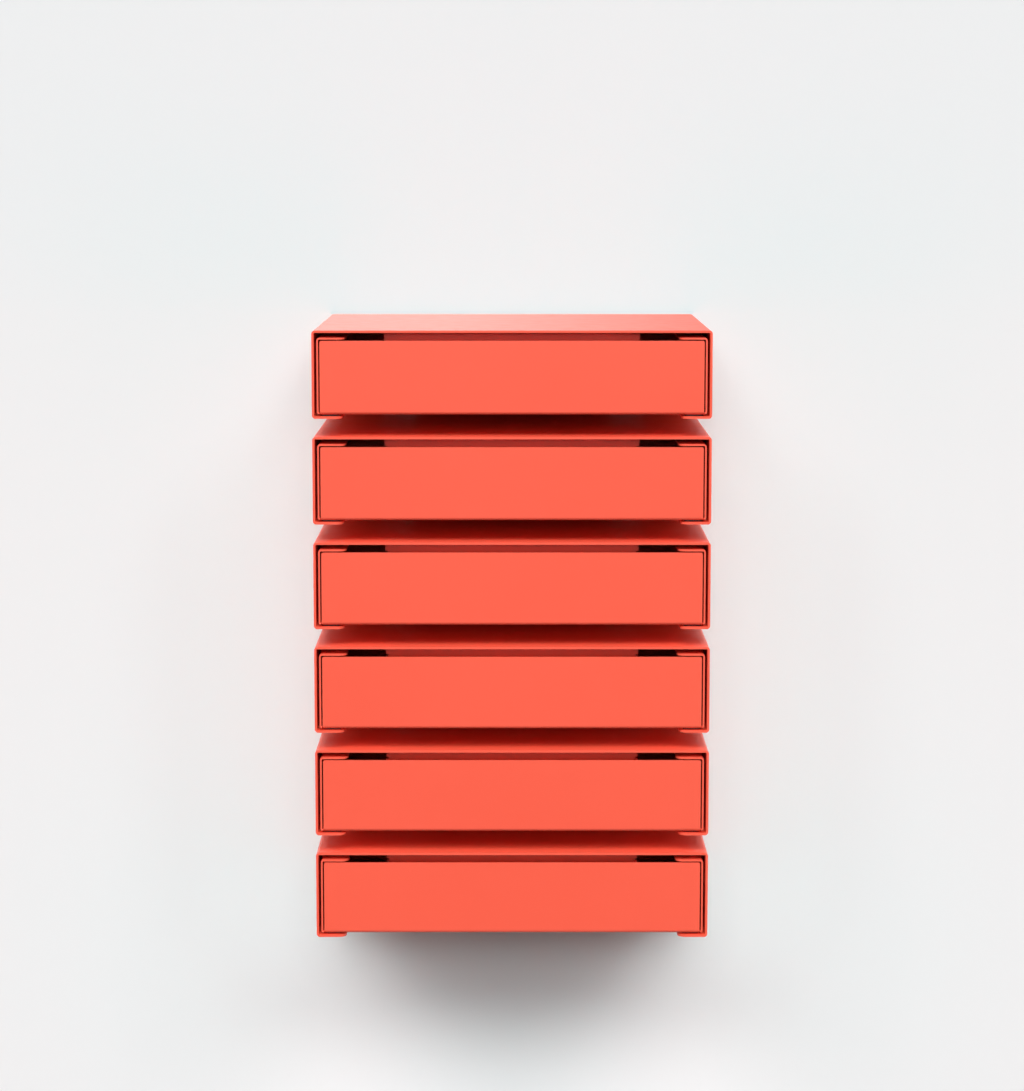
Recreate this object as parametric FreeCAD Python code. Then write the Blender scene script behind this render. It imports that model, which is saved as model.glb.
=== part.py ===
import FreeCAD, Part
import math
import os

# Wall-mounted unit of folded sheet steel: a stack of equal housings, each
# open in front and holding one drawer without a lid. Two flat bars behind
# the stack carry the housings and are screwed to the wall.
#
# Millimetres. The front faces -Y and +Z is up. The origin lies on the wall
# plane, in the middle of the wall screw pattern.

# Housings
module_count = 6            # housings in the stack, each with one drawer
housing_width = 350.0
housing_height = 77.3
housing_depth = 250.0
housing_gap = 16.0          # free height between two housings
housing_gauge = 2.0         # sheet thickness
housing_fold = 1.0          # inside radius of a fold
housing_lip = 26.5          # width of the two in-turned lips underneath
housing_slit = 1.0          # relief between the back panel and the sides

# Drawers
tray_gauge = 1.5            # sheet thickness
tray_fold = 1.2             # inside radius of a fold
tray_lip = 25.0             # width of the in-turned lips on top of the sides
tray_side_play = 2.3        # free width on each side, inside the housing
tray_roof_gap = 4.4         # from the lips up to the housing's roof
tray_slit = 1.1             # from the end walls to the sides and to the lips
lip_corner = 7.0            # radius of the lips' front corners, seen from above
front_corner = 1.5          # radius of the front wall's top corners

# Pull plate, which closes off the finger pocket behind the front wall
plate_width = 225.0
plate_gauge = 1.5
plate_fold = 1.0            # inside radius of a fold
plate_setback = 18.0        # from the front of the drawer to the plate
plate_roof_gap = 1.5        # from the plate's top edge up to the roof
plate_foot = 14.0           # length of the foot that lies on the drawer's floor
plate_slit = 1.0            # relief beside the folds of the cheeks
cheek_drop = 2.0            # from the front wall's top edge down to the cheeks
cheek_gap = 0.8             # from the cheeks to the front wall
slot_margin = 1.0           # floor left in front of and behind the finger slot
slot_end_margin = 3.0       # floor left between the finger slot and a cheek
slot_corner = 4.0

# Glides: nylon pads, each with a stem pushed through a hole in the sheet
pad_length = 16.0
pad_width = 16.0
pad_thickness = 1.7         # this is the gap between drawer and housing lips
pad_corner = 2.5
pad_stem = 5.0              # diameter of the stem
pad_front_inset = 6.0       # from the housing's front to its pads
pad_rear_inset = 5.0        # from the drawer's rear to its pads
guard_play = 0.6            # from the upper rear pads to the roof
guard_stem_proud = 0.5      # the upper stems' snap end, under the lip

# Rubber bumpers on the back panel, where the closed drawer stops
bumper_diameter = 8.0
bumper_thickness = 4.0
bumper_rim = 0.8            # rounding of the bumper's front rim
bumper_spacing = 160.0

# Wall bars
rail_width = 30.0
rail_thickness = 3.0
rail_spacing = 220.0        # from the middle of one bar to the other
rail_end_inset = 12.0       # from the stack's top and bottom to the bars' ends
rail_corner = 5.0
wall_hole = 5.5             # diameter, for a 5 mm wall screw

# Button head screws that hold the housings to the bars
screw_thread = 4.0
screw_head = 7.6
screw_head_height = 2.2
screw_head_round = 1.5
screw_socket = 2.5          # hexagon socket, across its flats
screw_socket_depth = 1.3
screw_rise = 33.0           # height between the two screws on one bar
screw_hole_play = 0.5       # on the diameter, in the housing
screw_thread_play = 0.1     # on the diameter, in the bar
screw_end_gap = 0.4         # from the screw's end to the wall

# Rivets that hold the pull plate
rivet_shank = 3.2
rivet_head = 6.4
rivet_head_height = 1.1
rivet_head_round = 1.0
rivet_set_head = 5.0
rivet_set_height = 0.9
rivet_spacing = 88.0
rivet_side_count = 1        # rivets on each side of the middle one

fit_play = 0.1              # on the diameter, of holes for stems and rivets
overrun = 1.0               # how far a cutting block reaches past the sheet

# Places that follow from the sizes above
pitch = housing_height + housing_gap
stack_height = module_count * pitch - housing_gap
housing_back = -rail_thickness
housing_front = housing_back - housing_depth
housing_half = housing_width / 2
housing_bend = housing_fold + housing_gauge
housing_lip_edge = housing_half - housing_lip
back_panel_half = housing_half - housing_gauge - housing_slit
back_panel_face = housing_back - housing_gauge
roof = housing_height - housing_gauge

tray_half = housing_half - housing_gauge - tray_side_play
tray_bend = tray_fold + tray_gauge
tray_bottom = housing_gauge + pad_thickness
tray_floor = tray_bottom + tray_gauge
tray_top = roof - tray_roof_gap
tray_back = back_panel_face - bumper_thickness
tray_lip_edge = tray_half - tray_lip
end_wall_half = tray_half - tray_gauge - tray_slit
end_wall_top = tray_top - tray_gauge - tray_slit

plate_half = plate_width / 2
plate_bend = plate_fold + plate_gauge
plate_face = housing_front + plate_setback
plate_top = roof - plate_roof_gap
cheek_top = end_wall_top - cheek_drop
cheek_front = housing_front + tray_gauge + cheek_gap
foot_back = plate_face + plate_foot
rivet_row = (plate_face + plate_bend + foot_back) / 2

pad_side = tray_half - tray_bend - pad_width / 2
pad_front_row = housing_front + pad_front_inset + pad_length / 2
pad_rear_row = tray_back - pad_rear_inset - pad_length / 2
guard_thickness = tray_roof_gap - guard_play
drawer_travel = (pad_rear_row - pad_front_row) - pad_length

screw_levels = (housing_height / 2 - screw_rise / 2, housing_height / 2 + screw_rise / 2)

along_x = FreeCAD.Vector(1, 0, 0)
along_y = FreeCAD.Vector(0, 1, 0)
along_z = FreeCAD.Vector(0, 0, 1)
tolerance = 1e-5


# Plain shapes

def near(value, target):
    return abs(value - target) < tolerance


def block(x0, x1, y0, y1, z0, z1):
    """Block between two opposite corners, given in any order."""
    low = FreeCAD.Vector(min(x0, x1), min(y0, y1), min(z0, z1))
    return Part.makeBox(abs(x1 - x0), abs(y1 - y0), abs(z1 - z0), low)


def rod(diameter, start, direction, length):
    """Round bar from a start point."""
    return Part.makeCylinder(diameter / 2, length, start, direction)


def rounded(solid, radius, direction, chosen):
    """Round the straight edges along a direction whose middle point is chosen."""
    edges = []
    for edge in solid.Edges:
        if isinstance(edge.Curve, Part.Line):
            parallel = near(abs(edge.Curve.Direction.dot(direction)), 1.0)
            if parallel and chosen(edge.CenterOfMass):
                edges.append(edge)
    return solid.makeFillet(radius, edges)


def rounded_rim(solid, radius, centre):
    """Round the circular edge that lies around a centre point."""
    rims = []
    for edge in solid.Edges:
        if isinstance(edge.Curve, Part.Circle):
            if edge.Curve.Center.distanceToPoint(centre) < tolerance:
                rims.append(edge)
    return solid.makeFillet(radius, rims)


def every_edge(point):
    return True


# Folded sheet

def folded_sleeve(half, front, back, low, high, gauge, fold):
    """Sheet folded round all four sides of a channel that runs along Y."""
    outer = block(-half, half, front, back, low, high)
    outer = rounded(outer, fold + gauge, along_y, every_edge)
    inner_half = half - gauge
    inner = block(-inner_half, inner_half, front - overrun, back + overrun, low + gauge, high - gauge)
    inner = rounded(inner, fold, along_y, every_edge)
    return outer.cut(inner)


def folded_wall(half, face, inward, base, edge, run, gauge, fold):
    """Wall across X, folded from a flat sheet whose outer side lies at the height base.

    The wall's outer side lies at Y = face and its free edge at Z = edge. The flat
    sheet goes on for run in the direction inward, which is 1 or -1 along Y."""
    upward = 1 if edge > base else -1
    outer = block(-half, half, face, face + inward * run, base, edge)
    outer = rounded(outer, fold + gauge, along_x, lambda p: near(p.y, face) and near(p.z, base))
    inner_face = face + inward * gauge
    inner_base = base + upward * gauge
    hollow = block(-half - overrun, half + overrun, inner_face, face + inward * (run + overrun),
                   inner_base, edge + upward * overrun)
    hollow = rounded(hollow, fold, along_x,
                     lambda p: near(p.y, inner_face) and near(p.z, inner_base))
    return outer.cut(hollow)


def with_round_lip_corners(sheet, lip_edge, middle):
    """Round the front corners of two lips, seen from above; middle is the height of
    the middle of the lips' sheet."""
    return rounded(sheet, lip_corner, along_z,
                   lambda p: near(abs(p.x), lip_edge) and near(p.y, housing_front)
                   and near(p.z, middle))


# Housing

def housing():
    """One sheet: roof, sides, two lips underneath, and a back panel folded down."""
    sheet = folded_sleeve(housing_half, housing_front, housing_back, 0, housing_height,
                          housing_gauge, housing_fold)
    sheet = sheet.cut(block(-housing_lip_edge, housing_lip_edge, housing_front - overrun,
                            housing_back + overrun, -overrun, housing_gauge + overrun))
    sheet = with_round_lip_corners(sheet, housing_lip_edge, housing_gauge / 2)

    side_face = housing_half - housing_gauge
    reach = housing_bend + housing_slit
    sheet = sheet.cut(block(-side_face, side_face, housing_back - reach, housing_back + overrun,
                            housing_height - reach, housing_height + overrun))
    sheet = sheet.fuse(folded_wall(back_panel_half, housing_back, -1, housing_height,
                                   housing_gauge + housing_slit, reach, housing_gauge, housing_fold))
    for side in (-1, 1):
        for level in screw_levels:
            start = FreeCAD.Vector(side * rail_spacing / 2, back_panel_face - overrun, level)
            sheet = sheet.cut(rod(screw_thread + screw_hole_play, start, along_y,
                                  housing_gauge + 2 * overrun))
        start = FreeCAD.Vector(side * pad_side, pad_front_row, -overrun)
        sheet = sheet.cut(rod(pad_stem + fit_play, start, along_z, housing_gauge + 2 * overrun))
    return sheet.removeSplitter()


def housing_glides():
    """Two pads on the lips, near the front, on which the drawer's floor slides."""
    return pads(pad_front_row, housing_gauge, pad_thickness, -1, housing_gauge)


def housing_screws():
    """Four button head screws through the back panel into the wall bars."""
    screws = []
    for side in (-1, 1):
        for level in screw_levels:
            screws.append(button_screw(side * rail_spacing / 2, level))
    return Part.makeCompound(screws)


def button_screw(x, z):
    seat = FreeCAD.Vector(x, back_panel_face, z)
    head = rod(screw_head, seat, -along_y, screw_head_height)
    crown = seat - along_y * screw_head_height
    head = rounded_rim(head, screw_head_round, crown)
    corner_radius = screw_socket / math.sqrt(3)
    corners = []
    for step in range(7):
        turn = FreeCAD.Rotation(along_y, step * 360 / 6)
        corners.append(crown + turn.multVec(along_x * corner_radius))
    hexagon = Part.Face(Part.makePolygon(corners))
    head = head.cut(hexagon.extrude(along_y * screw_socket_depth))
    length = housing_gauge + rail_thickness - screw_end_gap
    return head.fuse(rod(screw_thread, seat, along_y, length))


def back_bumpers():
    """Two rubber discs on the back panel."""
    discs = []
    for side in (-1, 1):
        seat = FreeCAD.Vector(side * bumper_spacing / 2, back_panel_face, housing_height / 2)
        disc = rod(bumper_diameter, seat, -along_y, bumper_thickness)
        discs.append(rounded_rim(disc, bumper_rim, seat - along_y * bumper_thickness))
    return Part.makeCompound(discs)


# Drawer

def tray():
    """One sheet: floor, sides with lips on top, a front wall and a rear wall."""
    sheet = folded_sleeve(tray_half, housing_front, tray_back, tray_bottom, tray_top,
                          tray_gauge, tray_fold)
    sheet = sheet.cut(block(-tray_lip_edge, tray_lip_edge, housing_front - overrun,
                            tray_back + overrun, tray_top - tray_gauge - overrun,
                            tray_top + overrun))
    sheet = with_round_lip_corners(sheet, tray_lip_edge, tray_top - tray_gauge / 2)

    side_face = tray_half - tray_gauge
    reach = tray_bend + tray_slit
    for face, inward in ((housing_front, 1), (tray_back, -1)):
        sheet = sheet.cut(block(-side_face, side_face, face - inward * overrun,
                                face + inward * reach, tray_bottom - overrun,
                                tray_bottom + tray_bend))
        wall = folded_wall(end_wall_half, face, inward, tray_bottom, end_wall_top, reach,
                           tray_gauge, tray_fold)
        wall = rounded(wall, front_corner, along_y,
                       lambda p: near(abs(p.x), end_wall_half) and near(p.z, end_wall_top))
        sheet = sheet.fuse(wall)

    sheet = sheet.cut(finger_slot())
    for side in (-1, 1):
        start = FreeCAD.Vector(side * pad_side, pad_rear_row, tray_bottom - overrun)
        sheet = sheet.cut(rod(pad_stem + fit_play, start, along_z, tray_gauge + 2 * overrun))
        start.z = tray_top - tray_gauge - overrun
        sheet = sheet.cut(rod(pad_stem + fit_play, start, along_z, tray_gauge + 2 * overrun))
    for x in rivet_places():
        start = FreeCAD.Vector(x, rivet_row, tray_bottom - overrun)
        sheet = sheet.cut(rod(rivet_shank + fit_play, start, along_z, tray_gauge + 2 * overrun))
    return sheet.removeSplitter()


def finger_slot():
    """The opening in the floor between the front wall's fold and the pull plate."""
    half = plate_half - plate_gauge - slot_end_margin
    slot = block(-half, half, housing_front + tray_bend + slot_margin, plate_face - slot_margin,
                 tray_bottom - overrun, tray_floor + overrun)
    return rounded(slot, slot_corner, along_z, every_edge)


def tray_glides():
    """Two pads under the drawer's floor, near its rear, that slide on the housing's lips."""
    return pads(pad_rear_row, tray_bottom - pad_thickness, pad_thickness, 1, tray_gauge)


def tip_guards():
    """Two pads on the rear of the drawer's lips that keep the open drawer from tipping."""
    return pads(pad_rear_row, tray_top, guard_thickness, -1, tray_gauge + guard_stem_proud)


def pads(row, bottom, thickness, stem_side, stem_length):
    """A pair of pads; stem_side is 1 for a stem on top and -1 for one underneath."""
    pair = []
    for side in (-1, 1):
        x = side * pad_side
        pad = block(x - pad_width / 2, x + pad_width / 2, row - pad_length / 2,
                    row + pad_length / 2, bottom, bottom + thickness)
        pad = rounded(pad, pad_corner, along_z, every_edge)
        root = bottom + thickness if stem_side > 0 else bottom
        stem = rod(pad_stem, FreeCAD.Vector(x, row, root), along_z * stem_side, stem_length)
        pair.append(pad.fuse(stem))
    return Part.makeCompound(pair)


# Pull plate

def pull_plate():
    """One sheet: a wall with a foot folded back and two cheeks folded forward."""
    flat_half = plate_half - plate_bend
    plate = folded_wall(flat_half, plate_face, 1, tray_floor, plate_top, plate_foot,
                        plate_gauge, plate_fold)
    wall_back = plate_face + plate_gauge
    for side in (-1, 1):
        ear = block(side * flat_half, side * plate_half, plate_face, wall_back,
                    cheek_top + plate_slit, plate_top)
        plate = plate.fuse(ear).fuse(cheek(side))
    for x in rivet_places():
        start = FreeCAD.Vector(x, rivet_row, tray_floor - overrun)
        plate = plate.cut(rod(rivet_shank + fit_play, start, along_z, plate_gauge + 2 * overrun))
    return plate.removeSplitter()


def cheek(side):
    """End of the plate, folded forward to the front wall. It runs a little into the
    flat of the plate, so that the two join."""
    flat_half = plate_half - plate_bend
    wall_back = plate_face + plate_gauge
    low = tray_floor + plate_bend
    outer = block(side * (flat_half - overrun), side * plate_half, cheek_front, wall_back,
                  low, cheek_top)
    outer = rounded(outer, plate_bend, along_z,
                    lambda p: near(abs(p.x), plate_half) and near(p.y, wall_back))
    inner_half = plate_half - plate_gauge
    hollow = block(side * (flat_half - 2 * overrun), side * inner_half, cheek_front - overrun,
                   plate_face, low - overrun, cheek_top + overrun)
    hollow = rounded(hollow, plate_fold, along_z,
                     lambda p: near(abs(p.x), inner_half) and near(p.y, plate_face))
    return outer.cut(hollow)


def rivet_places():
    return [step * rivet_spacing for step in range(-rivet_side_count, rivet_side_count + 1)]


def plate_rivets():
    """Dome head rivets through the plate's foot and the drawer's floor."""
    rivets = []
    foot_top = tray_floor + plate_gauge
    for x in rivet_places():
        head_seat = FreeCAD.Vector(x, rivet_row, foot_top)
        head = rod(rivet_head, head_seat, along_z, rivet_head_height)
        head = rounded_rim(head, rivet_head_round, head_seat + along_z * rivet_head_height)
        set_end = FreeCAD.Vector(x, rivet_row, tray_bottom - rivet_set_height)
        set_head = rod(rivet_set_head, set_end, along_z, rivet_set_height)
        shank = rod(rivet_shank, set_end, along_z, head_seat.z - set_end.z)
        rivets.append(head.fuse(shank).fuse(set_head))
    return Part.makeCompound(rivets)


# Wall bars

def module_base(number):
    """Height of a housing's underside; housing 1 is the top one."""
    return stack_height / 2 - housing_height - (number - 1) * pitch


def gap_middle(number):
    """Height of the middle of a gap; gap 1 is the one under housing 1."""
    return module_base(number) - housing_gap / 2


def wall_hole_levels():
    """Wall screws go through the first, the middle and the last gap of the stack."""
    gaps = {1, module_count // 2, module_count - 1}
    return [gap_middle(number) for number in sorted(gaps)]


def wall_rail(side):
    """Flat bar with holes for the wall and threaded holes for the housings."""
    x = side * rail_spacing / 2
    half_length = stack_height / 2 - rail_end_inset
    bar = block(x - rail_width / 2, x + rail_width / 2, -rail_thickness, 0,
                -half_length, half_length)
    bar = rounded(bar, rail_corner, along_y, every_edge)
    holes = []
    for level in wall_hole_levels():
        holes.append((wall_hole, level))
    for number in range(1, module_count + 1):
        for level in screw_levels:
            holes.append((screw_thread + screw_thread_play, module_base(number) + level))
    for diameter, level in holes:
        start = FreeCAD.Vector(x, -rail_thickness - overrun, level)
        bar = bar.cut(rod(diameter, start, along_y, rail_thickness + 2 * overrun))
    return bar


# Files, one for each node

def save(shape, node):
    if not shape.isValid() or not shape.Solids:
        raise ValueError("not a sound solid: " + node)
    shape.exportStep("parts/" + node + ".step")


os.makedirs("parts", exist_ok=True)
save(wall_rail(-1), "wall_rail_left")
save(wall_rail(1), "wall_rail_right")

module_pieces = {
    "housing": housing(),
    "housing_glides": housing_glides(),
    "housing_screws": housing_screws(),
    "back_bumpers": back_bumpers(),
    "drawer_tray": tray(),
    "drawer_glides": tray_glides(),
    "tip_guards": tip_guards(),
    "pull_plate": pull_plate(),
    "plate_rivets": plate_rivets(),
}
for number in range(1, module_count + 1):
    for piece, shape in module_pieces.items():
        placed = shape.copy()
        placed.translate(along_z * module_base(number))
        save(placed, piece + "_" + str(number))

print("stack height", round(stack_height, 3))
print("drawer travel", round(drawer_travel, 3))
for piece, shape in module_pieces.items():
    box = shape.BoundBox
    print(piece, "solids", len(shape.Solids), "volume", round(shape.Volume, 1),
          "y", round(box.YMin, 2), round(box.YMax, 2), "z", round(box.ZMin, 2), round(box.ZMax, 2))
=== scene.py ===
# %% [markdown]
# # A wall-mounted drawer unit of folded sheet steel
#
# Six equal housings hang one above the other on two flat bars, and each one
# holds a drawer without a lid. Nearly everything that shows is thin steel
# sheet, folded and powder coated, so this lesson is about sheet: how to keep
# its gauge even, how to round its folds and how to keep its cut edges crisp.
# The construction comes first. It is loaded as a fixed frame, and each piece
# that is modelled below takes the place of one of the frame's plain solids.

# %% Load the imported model
import math

import bmesh
import bpy
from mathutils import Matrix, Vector


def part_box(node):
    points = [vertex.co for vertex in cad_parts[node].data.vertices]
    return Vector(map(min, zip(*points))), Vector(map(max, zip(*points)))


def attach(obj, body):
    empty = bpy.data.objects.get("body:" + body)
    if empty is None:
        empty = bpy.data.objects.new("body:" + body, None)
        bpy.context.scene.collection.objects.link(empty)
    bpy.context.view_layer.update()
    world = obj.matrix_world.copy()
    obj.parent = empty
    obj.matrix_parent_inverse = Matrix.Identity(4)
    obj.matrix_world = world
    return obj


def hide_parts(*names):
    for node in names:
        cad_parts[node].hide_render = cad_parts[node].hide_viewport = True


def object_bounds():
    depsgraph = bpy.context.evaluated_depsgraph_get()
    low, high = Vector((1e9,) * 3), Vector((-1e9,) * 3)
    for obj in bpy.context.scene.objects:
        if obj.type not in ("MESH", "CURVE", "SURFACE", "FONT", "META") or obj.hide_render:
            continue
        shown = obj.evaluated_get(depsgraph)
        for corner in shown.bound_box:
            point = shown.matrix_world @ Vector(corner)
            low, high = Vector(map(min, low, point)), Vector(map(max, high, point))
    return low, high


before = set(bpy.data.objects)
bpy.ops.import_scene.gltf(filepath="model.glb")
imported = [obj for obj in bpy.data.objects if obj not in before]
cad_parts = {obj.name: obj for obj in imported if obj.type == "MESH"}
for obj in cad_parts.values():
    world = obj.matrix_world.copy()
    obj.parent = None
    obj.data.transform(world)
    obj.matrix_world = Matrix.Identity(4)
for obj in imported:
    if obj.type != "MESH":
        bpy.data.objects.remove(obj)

cad_low, cad_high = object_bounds()

# %% [markdown]
# ## The sizes that the frame gives
#
# Blender counts in metres, and sheet metal is drawn in millimetres, so every
# size below is written as a number of mm. The outer size and the place of each
# piece are read from the frame, so that nothing has to be fitted afterwards.
# The unit faces -Y, +Z is up, and the wall is the plane Y = 0.

# %% Read the places of the top module
mm = 0.001
module_count = 6

housing_low, housing_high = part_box("housing_1")
tray_low, tray_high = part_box("drawer_tray_1")
plate_low, plate_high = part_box("pull_plate_1")

for name, (low, high) in {"housing": (housing_low, housing_high),
                          "drawer": (tray_low, tray_high),
                          "pull plate": (plate_low, plate_high)}.items():
    print(name, "measures", [round(side / mm, 1) for side in high - low], "mm")

# %% [markdown]
# ## The camera
#
# The unit is seen from straight in front and from a little above its top, so
# that the roof of the top housing shows as a thin band and each gap shows a
# sliver of the roof below it. A long lens keeps the six fronts almost equally
# wide. The camera is tilted a little downwards, and a small lens shift does
# the rest, because more tilt would make the fronts visibly narrower below.

# %% Place the camera
camera_place = (0, -2.5236, 0.4178)
camera_tilt = 6.957         # degrees below the horizon
camera_lens = 86.05
camera_shift = -0.06

bpy.ops.object.select_all(action="DESELECT")
bpy.ops.object.camera_add(location=camera_place,
                          rotation=(math.radians(90 - camera_tilt), 0, 0))
camera = bpy.context.object
camera.name = "camera"
camera.data.sensor_width = 36
camera.data.lens = camera_lens
camera.data.shift_y = camera_shift
bpy.context.scene.camera = camera
print("the camera is", round(-camera_place[1] + housing_low.y, 2), "m in front of the drawers")

# %% [markdown]
# ## Wall and floor
#
# The unit belongs on a wall, and the wall carries its shadow. From behind, the
# wall would hide the unit, so it lets camera rays through that reach its back,
# and it casts no shadow, which lets a lamp behind it light the unit's back.
# The floor lies far below. It looks pale, directly and in gloss, but it should
# throw little light up under the housings, so the rays that only carry light
# meet a dark paint.

# %% Node helpers for the wall, the floor and the world
def new_material(name):
    """Material with only its Principled shader: the material, its node tree and the shader."""
    material = bpy.data.materials.new(name)
    material.use_nodes = True
    return material, material.node_tree, material.node_tree.nodes["Principled BSDF"]


def feed(tree, socket, value):
    """Link a value to a socket if it is a socket itself, or else write it there."""
    if isinstance(value, bpy.types.NodeSocket):
        tree.links.new(value, socket)
    else:
        socket.default_value = value


def math_node(tree, operation, first, second):
    """Math node of two values; each is a socket or a number."""
    node = tree.nodes.new("ShaderNodeMath")
    node.operation = operation
    feed(tree, node.inputs[0], first)
    feed(tree, node.inputs[1], second)
    return node.outputs[0]


def vector_math(tree, operation, *vectors):
    """Vector Math node; each vector is a socket or three numbers, and a socket with a
    single value counts three times."""
    node = tree.nodes.new("ShaderNodeVectorMath")
    node.operation = operation
    for socket, vector in zip(node.inputs, vectors):
        feed(tree, socket, vector)
    return node.outputs["Value" if operation == "LENGTH" else "Vector"]


def parts_of(tree, vector):
    """The X and the Z of a vector."""
    node = tree.nodes.new("ShaderNodeSeparateXYZ")
    tree.links.new(vector, node.inputs[0])
    return node.outputs["X"], node.outputs["Z"]


def product(tree, first, *others):
    """All the sockets' values multiplied."""
    for other in others:
        first = math_node(tree, "MULTIPLY", first, other)
    return first


def fading(tree, distance, length):
    """1 at no distance, and smaller by a factor e for each length."""
    return math_node(tree, "EXPONENT", math_node(tree, "MULTIPLY", distance, -1 / length), 0)


def map_range(tree, value, start, end, low=0.0, high=1.0, smooth=False):
    """Map start ... end to low ... high, evenly or with smooth ends."""
    node = tree.nodes.new("ShaderNodeMapRange")
    node.interpolation_type = "SMOOTHSTEP" if smooth else "LINEAR"
    for name, number in zip(("From Min", "From Max", "To Min", "To Max"), (start, end, low, high)):
        node.inputs[name].default_value = number
    tree.links.new(value, node.inputs["Value"])
    return node.outputs["Result"]


def smooth_step(tree, value, start, end):
    """Rise smoothly from 0 at the start to 1 at the end."""
    return map_range(tree, value, start, end, smooth=True)


def mixed(tree, factor, first, second, data_type="RGBA"):
    """Mix from a first to a second colour or number; each is given or a socket."""
    mix = tree.nodes.new("ShaderNodeMix")
    mix.data_type = data_type
    tree.links.new(factor, mix.inputs["Factor"])
    for name, value in (("A", first), ("B", second)):
        feed(tree, mix.inputs[name], (*value, 1) if isinstance(value, tuple) else value)
    return mix.outputs["Result"]


def blended(tree, factor, first, second):
    """Mix Shader from a first to a second shader."""
    mix = tree.nodes.new("ShaderNodeMixShader")
    tree.links.new(factor, mix.inputs[0])
    tree.links.new(first, mix.inputs[1])
    tree.links.new(second, mix.inputs[2])
    return mix.outputs[0]


def seen_rays(tree):
    """1 for the rays that show a background: directly, in gloss or through glass."""
    rays = tree.nodes.new("ShaderNodeLightPath")
    seen = math_node(tree, "MAXIMUM", rays.outputs["Is Camera Ray"], rays.outputs["Is Glossy Ray"])
    return math_node(tree, "MAXIMUM", seen, rays.outputs["Is Transmission Ray"])


def matt_paint(name, colour):
    """Material with one matt colour."""
    material, tree, shader = new_material(name)
    shader.inputs["Base Color"].default_value = (*colour, 1)
    shader.inputs["Roughness"].default_value = 0.9
    shader.inputs["Specular IOR Level"].default_value = 0.2
    return material, tree, shader


print("node helpers are ready")

# %% [markdown]
# The unit throws a red glow on the wall, and in the photograph the wall stays a
# clean grey all the same. So the paint makes up for the glow. It is a little
# less red near the unit, and paler beside it, where the unit's shadow falls.
# That shadow starts at the top corners and runs down and outwards, so the pale paint, painted light
# that lifts the shadow, starts along a slant. Behind the unit the paint is dark, a painted shade, or
# light from the unit's back would shine through the gaps.

# %% Paint the wall beside the unit and behind it
wall_grey = (0.827, 0.823, 0.825)
# painted glow correction: red taken out of the wall paint near the unit
glow_cancelling_red = (0.0875, 0, 0)
red_reach, red_rise = 0.454, 0.3            # from the unit, and above its roof
# painted light: paler paint beside the unit, where its shadow falls
shadow_lifting_grey = (0.88, 0.99, 0.99)
fade_length, slant = 0.17, 0.6
slant_start, slant_end = 14 * mm, 155 * mm  # below the roof
# painted shade: dark paint on the wall behind the unit
painted_shade_grey = (0.2, 0.2, 0.2)
rim_across, rim_down = 30 * mm, 5 * mm      # soft rim of the dark paint

wall_paint, tree, shader = matt_paint("wall paint", wall_grey)
place = tree.nodes.new("ShaderNodeTexCoord").outputs["Object"]
x_axis, z_axis = parts_of(tree, place)
mirrored = vector_math(tree, "ABSOLUTE", place)
x_mirrored, z_mirrored = parts_of(tree, mirrored)
outside = vector_math(tree, "SUBTRACT", mirrored, (cad_high.x, 1, cad_high.z))
outside = vector_math(tree, "MAXIMUM", outside, (0, 0, 0))
distance = vector_math(tree, "LENGTH", outside)
# painted glow correction: the paint is less red near the unit, up to a height above its roof
glow_cancelling = product(tree, smooth_step(tree, distance, red_reach, 0),
                  smooth_step(tree, z_axis, cad_high.z + red_rise, cad_high.z))
glow_cancelling = vector_math(tree, "MULTIPLY", glow_cancelling, glow_cancelling_red)
plain = vector_math(tree, "MULTIPLY", wall_grey, vector_math(tree, "SUBTRACT", (1, 1, 1), glow_cancelling))
x_outside = parts_of(tree, outside)[0]
lowered = math_node(tree, "ADD", math_node(tree, "MULTIPLY", x_outside, slant), z_axis)
# painted light: the paint beside the unit is paler along the slanting shadow
beside = product(tree, smooth_step(tree, distance, fade_length, 0),
                 smooth_step(tree, lowered, cad_high.z - slant_start, cad_high.z - slant_end),
                 smooth_step(tree, x_mirrored, 0, cad_high.x))
plain = mixed(tree, beside, plain, shadow_lifting_grey)
# painted shade: the paint behind the unit is dark
behind = product(tree, smooth_step(tree, x_mirrored, cad_high.x, cad_high.x - rim_across),
                 smooth_step(tree, z_mirrored, cad_high.z, cad_high.z - rim_down))
plain = mixed(tree, behind, plain, painted_shade_grey)
print("the paint is less red within", round(red_reach / mm), "mm of the unit")

# %% [markdown]
# Above the unit, the lit roof glows on the wall. A spot sees more of the roof
# the lower it is, and an arc tangent tells how much of the roof's width it
# sees. The paint is divided by 1 plus that glow.

# %% Paint the wall above the unit
glow_colour, glow_height = (0.44, 0.062, 0.03), 0.25
least_height = 0.1 * mm                     # so that the angle is never undefined

height = math_node(tree, "SUBTRACT", z_axis, cad_high.z)
height_above = math_node(tree, "MAXIMUM", height, least_height)
beyond = math_node(tree, "SUBTRACT", x_mirrored, cad_high.x)
angle = math_node(tree, "ARCTAN2", beyond, height_above)
roof_share = math_node(tree, "ADD", math_node(tree, "MULTIPLY", angle, -1 / math.pi), 0.5)
# painted shade: above the roof the paint is divided by 1 plus the roof's glow
above = product(tree, roof_share, fading(tree, height_above, glow_height),
                math_node(tree, "GREATER_THAN", height, 0))
glow = vector_math(tree, "MULTIPLY", above, glow_colour)
print("the glow above the roof fades over", round(glow_height / mm), "mm")

# %% [markdown]
# Below the unit, the photograph's shadow is deeper in the middle and softer at
# both sides than the lamps draw it. So the paint is darker under the middle,
# and paler in a wide soft patch round that.

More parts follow.
